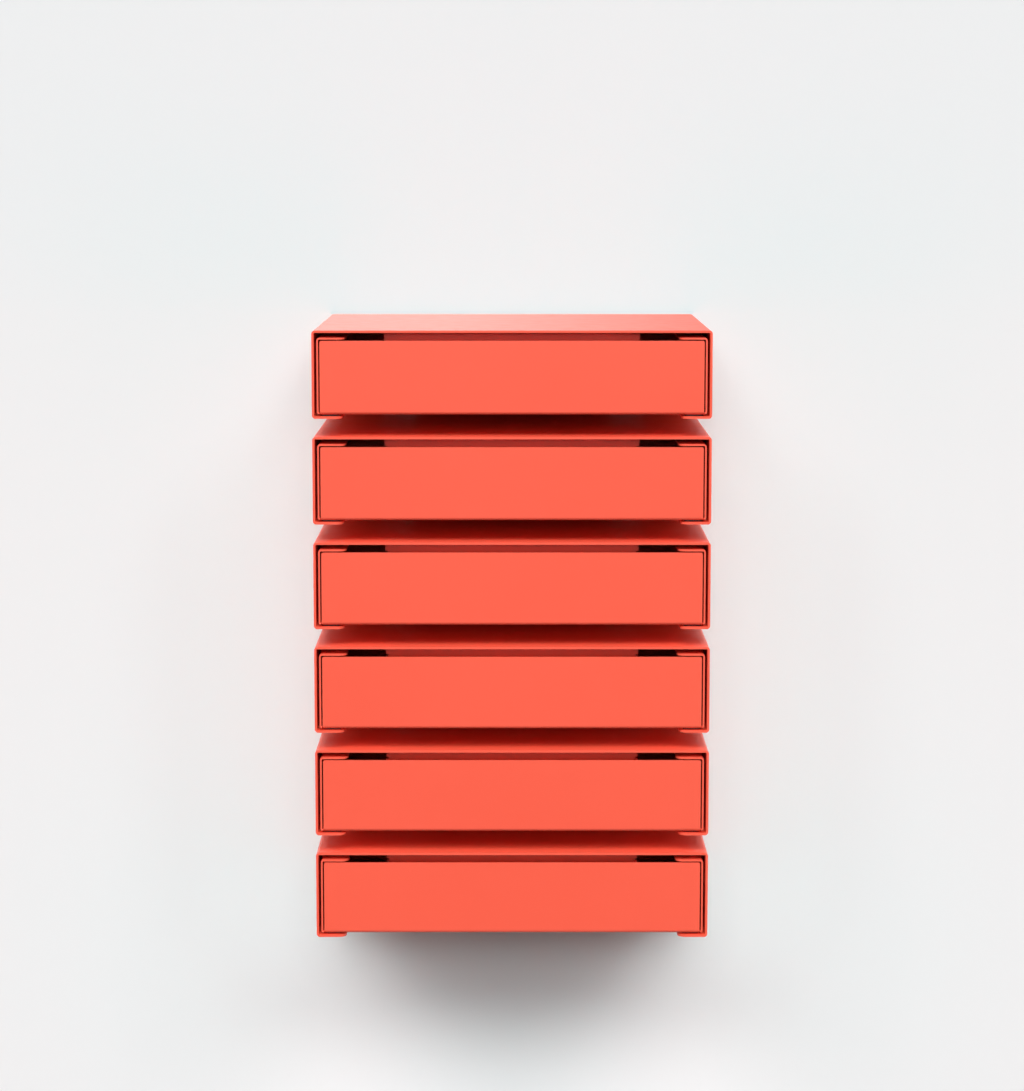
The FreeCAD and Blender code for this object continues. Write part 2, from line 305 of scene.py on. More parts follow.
# %% Paint the wall below the unit
# painted shadow: darker paint under the middle of the unit
painted_shadow_colour, painted_shadow_width, painted_shadow_height = (0.47, 0.34, 0.33), 0.2, 0.235
# painted light: paler paint round the shadow below the unit
shadow_softening_colour, pale_width, pale_middle = (0.217, 0.162, 0.163), 0.4, 0.1
pale_start, pale_full = cad_high.z - 50 * mm, 0.4055    # downwards from the unit's middle
pale_fade, pale_end = 0.35, 0.75

down = math_node(tree, "MULTIPLY", z_axis, -1)
depth = math_node(tree, "SUBTRACT", down, cad_high.z)
# painted shadow: the paint is darker under the middle of the unit
painted_shadow = product(tree, smooth_step(tree, x_mirrored, painted_shadow_width, 0),
               fading(tree, math_node(tree, "MAXIMUM", depth, 0), painted_shadow_height),
               math_node(tree, "GREATER_THAN", depth, 0))
# painted light: the paint is paler in a wide soft patch round that shadow
pale = product(tree, smooth_step(tree, x_mirrored, pale_width, pale_middle),
               smooth_step(tree, down, pale_start, pale_full),
               smooth_step(tree, down, pale_end, pale_fade))
glow = vector_math(tree, "ADD", glow, vector_math(tree, "MULTIPLY", painted_shadow, painted_shadow_colour))
glow = vector_math(tree, "SUBTRACT", glow, vector_math(tree, "MULTIPLY", pale, shadow_softening_colour))
glow = vector_math(tree, "ADD", glow, (1, 1, 1))
tree.links.new(vector_math(tree, "DIVIDE", plain, glow), shader.inputs["Base Color"])
print(wall_paint.name, "has", len(tree.nodes), "nodes")

# %% [markdown]
# Seen in the gloss of the roofs, the wall above the unit is no even grey: the reflection is bright
# on the left and darker on the right, as from a softbox that stands to the left. So the wall carries
# a painted reflection there: above the roof it glows for glossy rays, brighter on the left, and only
# glossy rays meet that gradient.

# %% Paint a reflection for the gloss of the roofs and let the back show
painted_reflection_left, painted_reflection_right = 1.7, 0.7
painted_reflection_start, painted_reflection_end = -60 * mm, 190 * mm

# painted reflection: above the roof the wall glows for glossy rays, bright on the left and darker on
# the right
across = map_range(tree, x_axis, painted_reflection_start, painted_reflection_end, painted_reflection_left, painted_reflection_right)
gradient = tree.nodes.new("ShaderNodeEmission")
tree.links.new(across, gradient.inputs["Strength"])
rays = tree.nodes.new("ShaderNodeLightPath")
in_gloss = math_node(tree, "MULTIPLY", rays.outputs["Is Glossy Ray"],
                     math_node(tree, "GREATER_THAN", height, 0))
front = blended(tree, in_gloss, shader.outputs[0], gradient.outputs[0])
side = tree.nodes.new("ShaderNodeNewGeometry")
through = math_node(tree, "MULTIPLY", rays.outputs["Is Camera Ray"], side.outputs["Backfacing"])
clear = tree.nodes.new("ShaderNodeBsdfTransparent")
tree.links.new(blended(tree, through, front, clear.outputs[0]),
               tree.nodes["Material Output"].inputs["Surface"])
print("the gloss of the roofs meets", painted_reflection_left, "on the left and", painted_reflection_right, "on the right")

# %% [markdown]
# The floor needs two colours only. Which one a ray meets depends on its kind,
# and the Light Path node knows that.

# %% Paint the floor
floor_grey = (0.8, 0.8, 0.8)
floor_dark = (0.1, 0.1, 0.1)

floor_paint, tree, shader = matt_paint("floor paint", floor_grey)
dark = tree.nodes.new("ShaderNodeBsdfDiffuse")
dark.inputs["Color"].default_value = (*floor_dark, 1)
tree.links.new(blended(tree, seen_rays(tree), dark.outputs[0], shader.outputs[0]),
               tree.nodes["Material Output"].inputs["Surface"])
print(floor_paint.name, "is pale where it is seen and dark for the light that it throws back")

# %% [markdown]
# The wall and the floor are large planes. Every new object in this file gets
# its place, turn and size put into its mesh at once, so that its own origin
# stays where the unit's is.

# %% Set up the wall and the floor
wall_gap = 0.5 * mm         # the paint lies this far behind the bars' backs
plane_size = 30
floor_level = -1.3


def settle(name):
    """Name the new object and put its place, turn and size into its mesh."""
    bpy.ops.object.transform_apply(location=True, rotation=True, scale=True)
    piece = bpy.context.object
    piece.name = piece.data.name = name
    return piece


def stage_plane(name, paint, place, turn=0):
    """Large plane, turned about X by some degrees."""
    bpy.ops.object.select_all(action="DESELECT")
    bpy.ops.mesh.primitive_plane_add(size=plane_size, location=place,
                                     rotation=(math.radians(turn), 0, 0))
    plane = settle(name)
    plane.data.materials.append(paint)
    return plane


wall = stage_plane("studio_wall", wall_paint, (0, wall_gap, 0), 90)
wall.visible_shadow = False
floor = stage_plane("studio_floor", floor_paint, (0, 0, floor_level))
print("the floor lies", round(-floor_level + cad_low.z, 2), "m below the unit")

# %% [markdown]
# ## Light
#
# The photograph's shadow on the wall is softer and shorter than the shading in
# the gaps between the housings asks for. No single set of lamps gives both, so
# the wall and the unit have their own. Light linking does that: a lamp has a
# collection of receivers, and the wall and the floor are either the only
# receivers in it or the only objects that it leaves out.
# A sun lamp is used for each, because its light is even all over a large wall;
# its angle is how wide a softbox would look from the unit.
# The two lamps behind the unit light its back. They stand level with it and
# their discs are narrow, so that they light neither the roofs nor the
# undersides in the gaps, and no gloss meets them, because the roofs would
# mirror them towards the camera. The wall bars are all gloss, so they have a
# lamp of their own.

# %% Hang the lamps
backdrop_only = bpy.data.collections.new("receivers: wall and floor")
unit_only = bpy.data.collections.new("receivers: all but wall and floor")
bars_only = bpy.data.collections.new("receivers: wall bars")
for collection, state in ((backdrop_only, "INCLUDE"), (unit_only, "EXCLUDE")):
    for stage_piece in (wall, floor):
        collection.objects.link(stage_piece)
    for entry in collection.collection_objects:
        entry.light_linking.link_state = state


def add_lamp(name, receivers, azimuth, elevation, angle, level):
    """Lamp seen from the unit in a direction in degrees; azimuth 0 is straight in
    front. A white surface that faces a lamp of level 1 renders as white."""
    bpy.ops.object.select_all(action="DESELECT")
    bpy.ops.object.light_add(type="SUN", location=(0, 0, 2))
    lamp = bpy.context.object
    lamp.name = name
    turn, rise = math.radians(azimuth), math.radians(elevation)
    towards = Vector((math.sin(turn) * math.cos(rise), -math.cos(turn) * math.cos(rise),
                      math.sin(rise)))
    lamp.rotation_euler = towards.to_track_quat("Z", "Y").to_euler()
    lamp.data.angle = math.radians(angle)
    lamp.data.energy = level * math.pi
    lamp.light_linking.receiver_collection = receivers
    return lamp


# each lamp's receivers, azimuth, elevation, angle and level
lamps = {
    "wall_low": (backdrop_only, 0, 18.8, 12, 0.26),
    "wall_key": (backdrop_only, 0, 34, 22, 0.31),
    "wall_left": (backdrop_only, -17, 34, 16, 0.176),
    "wall_right": (backdrop_only, 17, 34, 16, 0.176),
    "wall_far_left": (backdrop_only, -32, 37, 19, 0.152),
    "wall_far_right": (backdrop_only, 32, 37, 19, 0.152),
    "key": (unit_only, -1, 48, 40, 1.11),
    "low": (unit_only, -1, 10, 14, 0.066),
    "low_left": (unit_only, -38, 10, 14, 0.048),
    "low_right": (unit_only, 38, 10, 14, 0.048),
    "back_left": (unit_only, -168, 0, 2, 0.24),
    "back_right": (unit_only, 172, 0, 2, 0.18),
    "back_bars": (bars_only, 145, 5, 40, 0.9),
}
for name, settings in lamps.items():
    lamp = add_lamp(name, *settings)
    lamp.visible_glossy = name not in ("back_left", "back_right")
print(len(lamps), "lamps, with a sum of levels of", round(sum(s[-1] for s in lamps.values()), 2))

# %% [markdown]
# The fronts of the photograph get a little darker towards the bottom. A softbox
# that hangs close above does that, because its light weakens with distance, as
# a sun's light doesn't.

# %% Hang a softbox close above
softbox_place = (-0.1, -1.2, 1.2)
softbox_tilt, softbox_turn = 45, -5         # degrees
softbox_width, softbox_depth = 0.5, 0.35
softbox_power = 2.8                         # watts

bpy.ops.object.select_all(action="DESELECT")
bpy.ops.object.light_add(type="AREA", location=softbox_place,
                         rotation=(math.radians(softbox_tilt), 0, math.radians(softbox_turn)))
softbox = bpy.context.object
softbox.name = "softbox"
softbox.data.shape = "RECTANGLE"
softbox.data.size, softbox.data.size_y = softbox_width, softbox_depth
softbox.data.energy = softbox_power
softbox.light_linking.receiver_collection = unit_only
print(softbox.name, "hangs", round(softbox.location.z - cad_high.z, 2), "m above the top")

# %% [markdown]
# The world fills in what the lamps leave dark. It should be weak, or the gaps
# between the housings lose their depth. Seen directly, or in the gloss of the
# paint, it should still look like the pale room that the wall belongs to. The
# Light Path node tells the two apart: camera and gloss rays meet a pale grey,
# all other rays meet the weak fill.

# %% Fill in with the world
room_grey = 0.87
fill_level = 0.05

bpy.context.scene.view_settings.view_transform = "Standard"
world = bpy.data.worlds.new("studio")
bpy.context.scene.world = world
world.use_nodes = True
tree = world.node_tree
tree.nodes.clear()
fill = tree.nodes.new("ShaderNodeBackground")
fill.inputs["Strength"].default_value = fill_level
room = tree.nodes.new("ShaderNodeBackground")
room.inputs["Strength"].default_value = room_grey
output = tree.nodes.new("ShaderNodeOutputWorld")
tree.links.new(blended(tree, seen_rays(tree), fill.outputs[0], room.outputs[0]),
               output.inputs["Surface"])
print("fill", fill_level, "and room", room_grey)

# %% [markdown]
# ## Powder coat
#
# The steel is sprayed with dry powder that melts into a thick satin skin. Up close, such a skin is
# never quite flat: it has slow waves a few millimetres long, which people call orange peel, and a
# fine grain. Both are far too small to model, so they are bump. The tone and the gloss drift a
# little over the sheet. On the cut edges the skin is stretched thin, and there it is glossier; its
# colour there is slightly lighter, which is a painted highlight along the edges. Those faces carry
# an attribute named cut_edge.
# All patterns read Object coordinates. The pieces keep their place in their
# mesh, so each drawer gets its own bit of pattern, at the same scale.

# %% Mix the powder coat
def noise(tree, scale, detail=2.0):
    """Noise in Object coordinates; a scale of 1000 has features about 1 mm long."""
    place = tree.nodes.new("ShaderNodeTexCoord")
    pattern = tree.nodes.new("ShaderNodeTexNoise")
    pattern.inputs["Scale"].default_value = scale
    pattern.inputs["Detail"].default_value = detail
    tree.links.new(place.outputs["Object"], pattern.inputs["Vector"])
    return pattern.outputs["Fac"]


def spread(tree, value, low, high):
    """Map the middle half of a noise, where most of it lies, to low ... high."""
    return map_range(tree, value, 0.25, 0.75, low, high)


def bumps(tree, shader, layers):
    """Chain of Bump nodes; each layer is a noise scale and a height in metres."""
    normal = None
    for scale, height in layers:
        node = tree.nodes.new("ShaderNodeBump")
        node.inputs["Distance"].default_value = height
        tree.links.new(noise(tree, scale), node.inputs["Height"])
        if normal:
            tree.links.new(normal, node.inputs["Normal"])
        normal = node.outputs["Normal"]
    tree.links.new(normal, shader.inputs["Normal"])


def mottled(name, tone_noise, tones, gloss_noise, roughness, layers):
    """Material whose tone and roughness drift between two values each, by a noise of a
    scale and a detail; layers are its bumps. Also gives its shader and both sockets."""
    material, tree, shader = new_material(name)
    tone = mixed(tree, spread(tree, noise(tree, *tone_noise), 0, 1), *tones)
    tree.links.new(tone, shader.inputs["Base Color"])
    gloss = spread(tree, noise(tree, *gloss_noise), *roughness)
    tree.links.new(gloss, shader.inputs["Roughness"])
    bumps(tree, shader, layers)
    print(name, "drifts in roughness from", *roughness)
    return material, shader, tone, gloss


coral, coral_shade = (0.965, 0.112, 0.060), (0.945, 0.106, 0.056)
# the cut edges' lighter colour is a painted highlight; their lower roughness is the thinner skin
coral_edge_highlight, edge_roughness = (0.965, 0.155, 0.105), 0.34

powder_coat, shader, tone, gloss = mottled(
    "coral powder coat", tone_noise=(6, 3), tones=(coral, coral_shade),
    gloss_noise=(70, 3), roughness=(0.38, 0.44), layers=[(330, 0.012 * mm), (1900, 0.003 * mm)])
tree = powder_coat.node_tree
edge = tree.nodes.new("ShaderNodeAttribute")
edge.attribute_name = "cut_edge"
edge = edge.outputs["Fac"]
# painted highlight: the cut edges get a lighter colour
tree.links.new(mixed(tree, edge, tone, coral_edge_highlight), shader.inputs["Base Color"])
tree.links.new(mixed(tree, edge, gloss, edge_roughness, "FLOAT"), shader.inputs["Roughness"])

# %% [markdown]
# ## Working as by hand
#
# Each piece starts as a primitive at its size and place and is shaped with the
# operators that a menu would call. An operator acts on all that is selected,
# so everything is deselected first, and the parts to work on are then picked
# in code. The helper below looks at the middle of each vertex, edge or face,
# and at its direction: the normal of a face, the run of an edge.

# %% Add a block and pick its parts
def add_block(name, low, high):
    """Cube stretched between two corners, with its place in its mesh."""
    bpy.ops.object.select_all(action="DESELECT")
    low, high = Vector(low), Vector(high)
    bpy.ops.mesh.primitive_cube_add(size=1, location=(low + high) / 2, scale=high - low)
    return settle(name)


most, square_on = 0.5, 0.99         # parts of a direction that run along an axis
tolerance = 0.01 * mm


def near(value, target):
    """Whether two lengths are the same."""
    return abs(value - target) < tolerance


def middle_and_direction(part):
    """The middle of a vertex, edge or face, and its normal or the run of the edge."""
    if isinstance(part, bmesh.types.BMVert):
        return part.co, part.normal
    middle = sum((corner.co for corner in part.verts), Vector()) / len(part.verts)
    if isinstance(part, bmesh.types.BMEdge):
        return middle, (part.verts[1].co - part.verts[0].co).normalized()
    return middle, part.normal


def pick(kind, test):
    """Select only the parts of one kind, VERT, EDGE or FACE, that pass a test."""
    bpy.ops.mesh.select_mode(type=kind)
    bpy.ops.mesh.select_all(action="DESELECT")
    mesh = bpy.context.object.data
    shape = bmesh.from_edit_mesh(mesh)
    parts = {"VERT": shape.verts, "EDGE": shape.edges, "FACE": shape.faces}[kind]
    picked = [part for part in parts if test(*middle_and_direction(part))]
    for part in picked:
        part.select_set(True)
    bmesh.update_edit_mesh(mesh)
    if not picked:
        raise ValueError("nothing to pick on " + bpy.context.object.name)


def select_only(*pieces):
    """Select some pieces and nothing else. The first becomes the active one."""
    bpy.ops.object.select_all(action="DESELECT")
    for piece in pieces:
        piece.select_set(True)
    bpy.context.view_layer.objects.active = pieces[0]


def edit(piece):
    """Open one piece in edit mode."""
    select_only(piece)
    bpy.ops.object.mode_set(mode="EDIT")


def leave_edit():
    bpy.ops.object.mode_set(mode="OBJECT")


print("helpers for blocks and picking are ready")

# %% [markdown]
# ## A sheet folded round a channel
#
# A housing and a drawer are made alike: one sheet folded along four lines that
# run from front to back, with two narrow lips where the channel stays open.
# The blank is drawn as a surface with no thickness, on the outer side of the
# steel: a block without its ends, with a strip taken out of one side. Then the
# four fold lines are bevelled. On a right angle, the bevel's offset is the
# outer radius of the fold. The thickness comes last, inwards, so that the
# inner radius comes out smaller by one gauge, as it does on a brake press.

# %% Fold a channel
fold_steps = 6


def cut_across(test, place, direction):
    """Cut the picked faces along a plane."""
    pick("FACE", test)
    bpy.ops.mesh.bisect(plane_co=place, plane_no=direction)


def round_off(kind, test, radius, steps=fold_steps):
    """Pick edges or corners, EDGE or VERT, and bevel them round."""
    pick(kind, test)
    bpy.ops.mesh.bevel(offset_type="OFFSET", offset=radius, segments=steps, profile=0.5,
                       affect="EDGES" if kind == "EDGE" else "VERTICES")


def folded_channel(name, low, high, open_side, lip_edge, fold_radius):
    """Channel along Y between two corners, left open in edit mode. The open side is 1
    for the top and -1 for the underside; its lips end at X = -lip_edge and lip_edge."""
    sheet = add_block(name, low, high)
    edit(sheet)
    pick("FACE", lambda middle, normal: abs(normal.y) > most)
    bpy.ops.mesh.delete(type="ONLY_FACE")
    for side in (-1, 1):
        cut_across(lambda middle, normal: normal.z * open_side > most,
                   (side * lip_edge, 0, 0), (1, 0, 0))
    pick("FACE", lambda middle, normal: normal.z * open_side > most and near(middle.x, 0))
    bpy.ops.mesh.delete(type="FACE")
    round_off("EDGE", lambda middle, run: abs(run.y) > most and near(abs(middle.x), high.x),
              fold_radius)
    return sheet


print("a fold is rounded in", fold_steps, "steps")

# %% [markdown]
# The end walls are folded from the flat of the channel, the housing's back
# panel downwards and the drawer's front and rear upwards. Near such a fold,
# the flat has to be cut free from the sides, or three folds would meet in one
# corner. So a strip of the flat is taken out, the free edge that is left is
# pulled out to the wall's face, then pulled along the wall, and the new fold
# line is bevelled like the others.

# %% Fold an end wall from the flat of a channel
def pull_out(x, y, z):
    """Extrude what is selected over a distance in metres."""
    bpy.ops.mesh.extrude_region_move(TRANSFORM_OT_translate={"value": (x, y, z)})


def fold_end_wall(flat, face, inward, free_edge, slit, side_face, fold_radius):
    """Turn the end of a channel's flat side at the height flat into a wall at Y = face
    that ends at the height free_edge. A slit frees it from the sides, whose inner
    faces are at X = -side_face and side_face."""
    line = face + inward * (fold_radius + slit)
    upward = 1 if free_edge > flat else -1

    def of_the_flat(middle, normal):
        return (middle.z - flat) * upward < fold_radius

    def of_its_end(middle, normal):
        return of_the_flat(middle, normal) and (middle.y - line) * inward < 0

    cut_across(of_the_flat, (0, line, 0), (0, 1, 0))
    for side in (-1, 1):
        cut_across(of_its_end, (side * side_face, 0, 0), (1, 0, 0))
    pick("FACE", lambda middle, normal: of_its_end(middle, normal) and abs(middle.x) < side_face)
    bpy.ops.mesh.delete(type="FACE")

    pick("EDGE", lambda middle, run: near(middle.y, line) and near(middle.z, flat)
         and near(middle.x, 0) and abs(run.x) > most)
    pull_out(0, face - line, 0)
    pull_out(0, 0, free_edge - flat)
    round_off("EDGE", lambda middle, run: near(middle.y, face) and near(middle.z, flat)
              and abs(run.x) > most, fold_radius)


print("ready to fold end walls")

# %% [markdown]
# Three steps finish every sheet. Solidify gives it its gauge. Holes are cut
# with Boolean, because a drill cuts them in the flat sheet too. A small Bevel
# softens the cut edges, as deburring and the coat do. The bevel's faces get
# the second material slot for a moment, which is an easy way to find them and
# to give them the attribute that the powder coat reads. Weighted normals keep
# the large faces flat in the shading, although everything is shaded smooth.

# %% Finish a sheet
edge_softening = 0.28 * mm
sharp_angle = math.radians(35)
past = 1.0 * mm                     # how far a cutter reaches past what it cuts


def finish_modifier(piece, kind, **settings):
    """Add a modifier with its settings and apply it."""
    modifier = piece.modifiers.new(kind.lower(), kind)
    for name, value in settings.items():
        setattr(modifier, name, value)
    select_only(piece)
    bpy.ops.object.modifier_apply(modifier=modifier.name)


def add_rod(name, start, run, radius, sides=32):
    """Cylinder from a start point along a run, both in metres."""
    bpy.ops.object.select_all(action="DESELECT")
    start, run = Vector(start), Vector(run)
    bpy.ops.mesh.primitive_cylinder_add(vertices=sides, radius=radius, depth=run.length,
                                        location=start + run / 2,
                                        rotation=run.to_track_quat("Z", "Y").to_euler())
    return settle(name)


def thicken(sheet, gauge):
    """Leave edit mode and give a sheet its gauge, inwards."""
    leave_edit()
    finish_modifier(sheet, "SOLIDIFY", thickness=gauge, offset=-1, use_even_offset=True)


def joined(pieces):
    """Join several objects into the first one."""
    select_only(*pieces)
    if len(pieces) > 1:
        bpy.ops.object.join()
    return pieces[0]


def cut_out(piece, cutters):
    """Take the space of some cutting shapes away from a piece."""
    cutter = joined(cutters)
    finish_modifier(piece, "BOOLEAN", operation="DIFFERENCE", solver="EXACT", object=cutter)
    bpy.data.objects.remove(cutter)


def volume_of(mesh):
    """Volume of a closed mesh in cubic centimetres."""
    shape = bmesh.new()
    shape.from_mesh(mesh)
    bmesh.ops.remove_doubles(shape, verts=shape.verts, dist=0.001 * mm)
    volume = shape.calc_volume(signed=True) * 1e6
    shape.free()
    return volume


def finish_piece(piece, material, node, softening=edge_softening):
    """Round the sharp edges, mark them as cut edges, shade the piece smooth and print
    how it measures against the frame's solid that it replaces."""
    piece.data.materials.clear()
    piece.data.materials.append(material)
    piece.data.materials.append(material)
    finish_modifier(piece, "BEVEL", width=softening, segments=2, limit_method="ANGLE",
                    angle_limit=sharp_angle, material=1)
    mark = piece.data.attributes.new("cut_edge", "FLOAT", "FACE")
    for face in piece.data.polygons:
        mark.data[face.index].value = face.material_index
        face.material_index = 0
    piece.data.materials.pop(index=1)
    bpy.ops.object.shade_smooth()
    finish_modifier(piece, "WEIGHTED_NORMAL", weight=50, keep_sharp=False)

    corners = [vertex.co for vertex in piece.data.vertices]
    low = Vector(min(c[axis] for c in corners) for axis in range(3))
    high = Vector(max(c[axis] for c in corners) for axis in range(3))
    node_low, node_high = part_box(node)
    off = [round(value / mm, 2) for value in (*(low - node_low), *(high - node_high))]
    print(piece.name, "volume", round(volume_of(piece.data), 3), "cm3, frame",
          round(volume_of(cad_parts[node].data), 3), "cm3, box off by", off, "mm,",
          len(piece.data.polygons), "faces")


print("cut edges are softened by", round(edge_softening / mm, 2), "mm")

# %% [markdown]
# ## The housing
#
# One sheet of 2 mm steel: a roof, two sides, two lips underneath, and a back
# panel folded down from the roof. The lips carry the drawer. Seen from above,
# their front corners are round, which shows as a small step beside the shadow
# under each housing. The back panel has two holes for each wall bar, and the
# lips one hole each for the stem of a glide.

# %% Model the housing
housing_gauge = 2.0 * mm
housing_fold = 3.0 * mm             # outer radius
housing_lip = 26.5 * mm
housing_slit = 1.0 * mm             # between the back panel and the sides
lip_corner = 7.0 * mm
screw_hole = 4.5 * mm
screw_rise = 33.0 * mm
bar_spacing = 220.0 * mm
stem_hole = 5.1 * mm
pad_half = 8.0 * mm


def middle_y(node):
    """Y of the middle of a node's box."""
    return sum(corner.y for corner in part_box(node)) / 2


screw_levels = [(housing_low.z + housing_high.z + side * screw_rise) / 2 for side in (-1, 1)]
pad_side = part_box("housing_glides_1")[1].x - pad_half
pad_row = middle_y("housing_glides_1")
panel_front = housing_high.y - housing_gauge
through_sheet = housing_gauge + 2 * past

lip_edge = housing_high.x - housing_lip
housing = folded_channel("housing_1_sheet", housing_low, housing_high, -1, lip_edge, housing_fold)
fold_end_wall(flat=housing_high.z, face=housing_high.y, inward=-1,
              free_edge=housing_low.z + housing_gauge + housing_slit,
              slit=housing_slit, side_face=housing_high.x - housing_gauge,
              fold_radius=housing_fold)
round_off("VERT", lambda place, normal: near(abs(place.x), lip_edge)
          and near(place.y, housing_low.y) and near(place.z, housing_low.z), lip_corner)
thicken(housing, housing_gauge)

drills = []
for side in (-1, 1):
    for level in screw_levels:
        drills.append(add_rod("drill", (side * bar_spacing / 2, panel_front - past, level),
                              (0, through_sheet, 0), screw_hole / 2))
    drills.append(add_rod("drill", (side * pad_side, pad_row, housing_low.z - past),
                          (0, 0, through_sheet), stem_hole / 2))
cut_out(housing, drills)
finish_piece(housing, powder_coat, "housing_1")

# %% [markdown]
# ## Hanging a piece in every module
#
# All six modules are alike, so each kind of piece is modelled once, at the top module. The copies
# are duplicated and moved down, each with a mesh of its own, and then the new place goes into the
# mesh. A copy takes the place of its node in the frame and rides on its body.

# %% Copy a piece down the stack
def install(piece, node, body):
    """Put a finished piece in the place of a node."""
    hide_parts(node)
    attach(piece, body)


def install_in_every_module(master, piece_name, node_stem, body_stem):
    """Copy the top module's piece to the others. A stem that ends in _ takes the number."""
    pieces = {1: master}
    top_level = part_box(node_stem + "1")[0].z
    for number in range(2, module_count + 1):
        select_only(master)
        bpy.ops.object.duplicate(linked=False)
        copy = bpy.context.object
        copy.location.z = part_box(node_stem + str(number))[0].z - top_level
        bpy.ops.object.transform_apply(location=True, rotation=False, scale=False)
        pieces[number] = copy
    for number, piece in pieces.items():
        piece.name = piece.data.name = piece_name + "_" + str(number)
        body = body_stem + str(number) if body_stem.endswith("_") else body_stem
        install(piece, node_stem + str(number), body)


install_in_every_module(housing, "folded_housing", "housing_", "wall_frame")

# %% [markdown]
# ## The drawer
#
# The drawer is folded like the housing, from 1.5 mm sheet and the other way
# up: its lips are on top, and the front and rear walls come up from the floor.
# The floor has a slot just behind the front wall, for the fingers, and holes
# for the stems of its glides and for the rivets of the pull plate.

# %% Model the drawer
tray_gauge = 1.5 * mm
tray_fold = 2.7 * mm                # outer radius
tray_lip = 25.0 * mm
tray_slit = 1.1 * mm                # beside the end walls and above them
front_corner = 1.5 * mm
slot_corner = 4.0 * mm
rivet_hole = 3.3 * mm
rivet_spacing = 88.0 * mm

end_wall_top = tray_high.z - tray_gauge - tray_slit
tray_lip_edge = tray_high.x - tray_lip
rivet_row = middle_y("plate_rivets_1")
rivet_places = [-rivet_spacing, 0, rivet_spacing]

drawer = folded_channel("drawer_1_sheet", tray_low, tray_high, 1, tray_lip_edge, tray_fold)
for face, inward in ((tray_low.y, 1), (tray_high.y, -1)):
    fold_end_wall(flat=tray_low.z, face=face, inward=inward, free_edge=end_wall_top,
                  slit=tray_slit, side_face=tray_high.x - tray_gauge, fold_radius=tray_fold)
round_off("VERT", lambda place, normal: near(place.z, end_wall_top), front_corner)
round_off("VERT", lambda place, normal: near(abs(place.x), tray_lip_edge)
          and near(place.y, tray_low.y) and near(place.z, tray_high.z), lip_corner)
thicken(drawer, tray_gauge)
print("the front wall is", round((end_wall_top - tray_low.z) / mm, 1), "mm high")

# %% [markdown]
# The finger slot is a block with round corners. It cuts the floor together
# with the drills, so that Boolean runs only once and the mesh stays clean.

# %% Punch the drawer's floor and lips
plate_gauge = 1.5 * mm
pocket_depth = 18.0 * mm            # from the front's outer face to the plate
plate_face = tray_low.y + pocket_depth
slot_margin = 1.0 * mm              # floor left in front of and behind the finger slot
slot_side = 3.0 * mm                # from the slot's end to the plate's cheek
slot_half = plate_high.x - plate_gauge - slot_side

floor_below, floor_above = tray_low.z - past, tray_low.z + tray_gauge + past
punch = add_block("punch", (-slot_half, tray_low.y + tray_fold + slot_margin, floor_below),
                  (slot_half, plate_face - slot_margin, floor_above))
edit(punch)
round_off("EDGE", lambda middle, run: abs(run.z) > most, slot_corner)
leave_edit()
drills = [punch]
for side in (-1, 1):
    drills.append(add_rod("drill", (side * pad_side, middle_y("drawer_glides_1"), floor_below),
                          (0, 0, tray_high.z - floor_below + past), stem_hole / 2))
for x in rivet_places:
    drills.append(add_rod("drill", (x, rivet_row, floor_below),
                          (0, 0, floor_above - floor_below), rivet_hole / 2))
cut_out(drawer, drills)
finish_piece(drawer, powder_coat, "drawer_tray_1")
install_in_every_module(drawer, "folded_drawer", "drawer_tray_", "drawer_")

# %% [markdown]
# ## The pull plate
#
# Behind the middle of each front stands a plate that keeps what is in the
# drawer out of the finger pocket. It is one more folded sheet, but it folds
# both ways: its foot goes back along the floor, and its two cheeks come
# forward to the front wall. The surface is drawn on the plate's front, which
# is the outer side of the foot's fold and the inner side of the cheeks' folds.

# %% Model the pull plate
plate_fold = 2.5 * mm               # outer radius
plate_slit = 1.0 * mm               # beside the folds of the cheeks
cheek_drop = 2.0 * mm               # from the front wall's edge down to the cheeks

flat_half = plate_high.x - plate_fold
cheek_low = plate_low.z + plate_fold
cheek_top = end_wall_top - cheek_drop
ear_low = cheek_top + plate_slit

bpy.ops.object.select_all(action="DESELECT")
bpy.ops.mesh.primitive_plane_add(
    size=1, location=(0, plate_face, (plate_low.z + plate_high.z) / 2),
    rotation=(math.radians(90), 0, 0))
bpy.context.object.scale = (2 * flat_half, plate_high.z - plate_low.z, 1)
plate = settle("pull_plate_1_sheet")
edit(plate)
for level in (cheek_low, cheek_top, ear_low):
    cut_across(lambda middle, normal: True, (0, 0, level), (0, 0, 1))
for side in (-1, 1):
    pick("EDGE", lambda middle, run: near(middle.x, side * flat_half)
         and cheek_low < middle.z < cheek_top and abs(run.z) > most)
    pull_out(side * (plate_fold - plate_gauge), 0, 0)
    pull_out(0, plate_low.y - plate_face, 0)
    round_off("EDGE", lambda middle, run: near(middle.y, plate_face) and abs(run.z) > most
              and near(middle.x, side * (plate_high.x - plate_gauge)), plate_fold - plate_gauge)
    pick("EDGE", lambda middle, run: near(middle.x, side * flat_half)
         and middle.z > ear_low and abs(run.z) > most)
    pull_out(side * plate_fold, 0, 0)
pick("EDGE", lambda middle, run: near(middle.z, plate_low.z) and abs(run.x) > most)
pull_out(0, plate_high.y - plate_face, 0)
round_off("EDGE", lambda middle, run: near(middle.z, plate_low.z)
          and near(middle.y, plate_face) and abs(run.x) > most, plate_fold)
bpy.ops.mesh.select_all(action="SELECT")
bpy.ops.mesh.remove_doubles(threshold=tolerance)
thicken(plate, plate_gauge)
